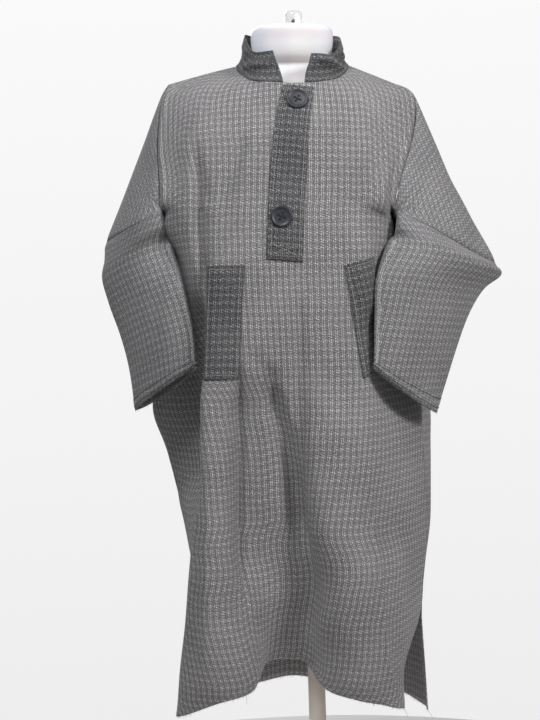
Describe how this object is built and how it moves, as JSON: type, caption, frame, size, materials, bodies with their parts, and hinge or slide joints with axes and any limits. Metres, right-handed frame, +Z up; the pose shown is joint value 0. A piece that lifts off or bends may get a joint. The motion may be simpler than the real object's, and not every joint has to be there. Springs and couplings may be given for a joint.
{
  "type": "pheran on dress form stand",
  "caption": "Loose long wool pheran with stand collar, half placket, pocket welts and wide sleeves, hanging on a limbless dress form with a pole and round base.",
  "frame": {"origin": "centre of the base plate's underside, on the floor, on the pole's axis", "axes": "+Z up along the pole, -Y out of the garment's front, +X towards the wearer's left"},
  "size_m": [0.6718, 0.392, 1.5385],
  "materials": {
    "body_tweed": "woven wool, mid grey with pale flecks",
    "sleeve_tweed": "woven wool, mid grey with pale flecks",
    "trim_tweed": "woven wool, charcoal with pale flecks",
    "button_plastic": "satin",
    "form_plastic": "frosted translucent",
    "knob_plastic": "clear",
    "pole_metal": "gloss cream"
  },
  "bodies": {
    "root": {"front_panel": "body_tweed", "back_panel": "body_tweed", "sleeve_right_upper": "sleeve_tweed", "sleeve_right_lower": "sleeve_tweed", "sleeve_left_upper": "sleeve_tweed", "sleeve_left_lower": "sleeve_tweed", "collar": "trim_tweed", "placket": "trim_tweed", "pocket_welt_right": "trim_tweed", "pocket_welt_left": "trim_tweed", "button_upper": "button_plastic", "button_lower": "button_plastic", "dress_form": "form_plastic", "form_knob": "knob_plastic", "pole": "pole_metal", "base_plate": "pole_metal"}
  },
  "joints": []
}
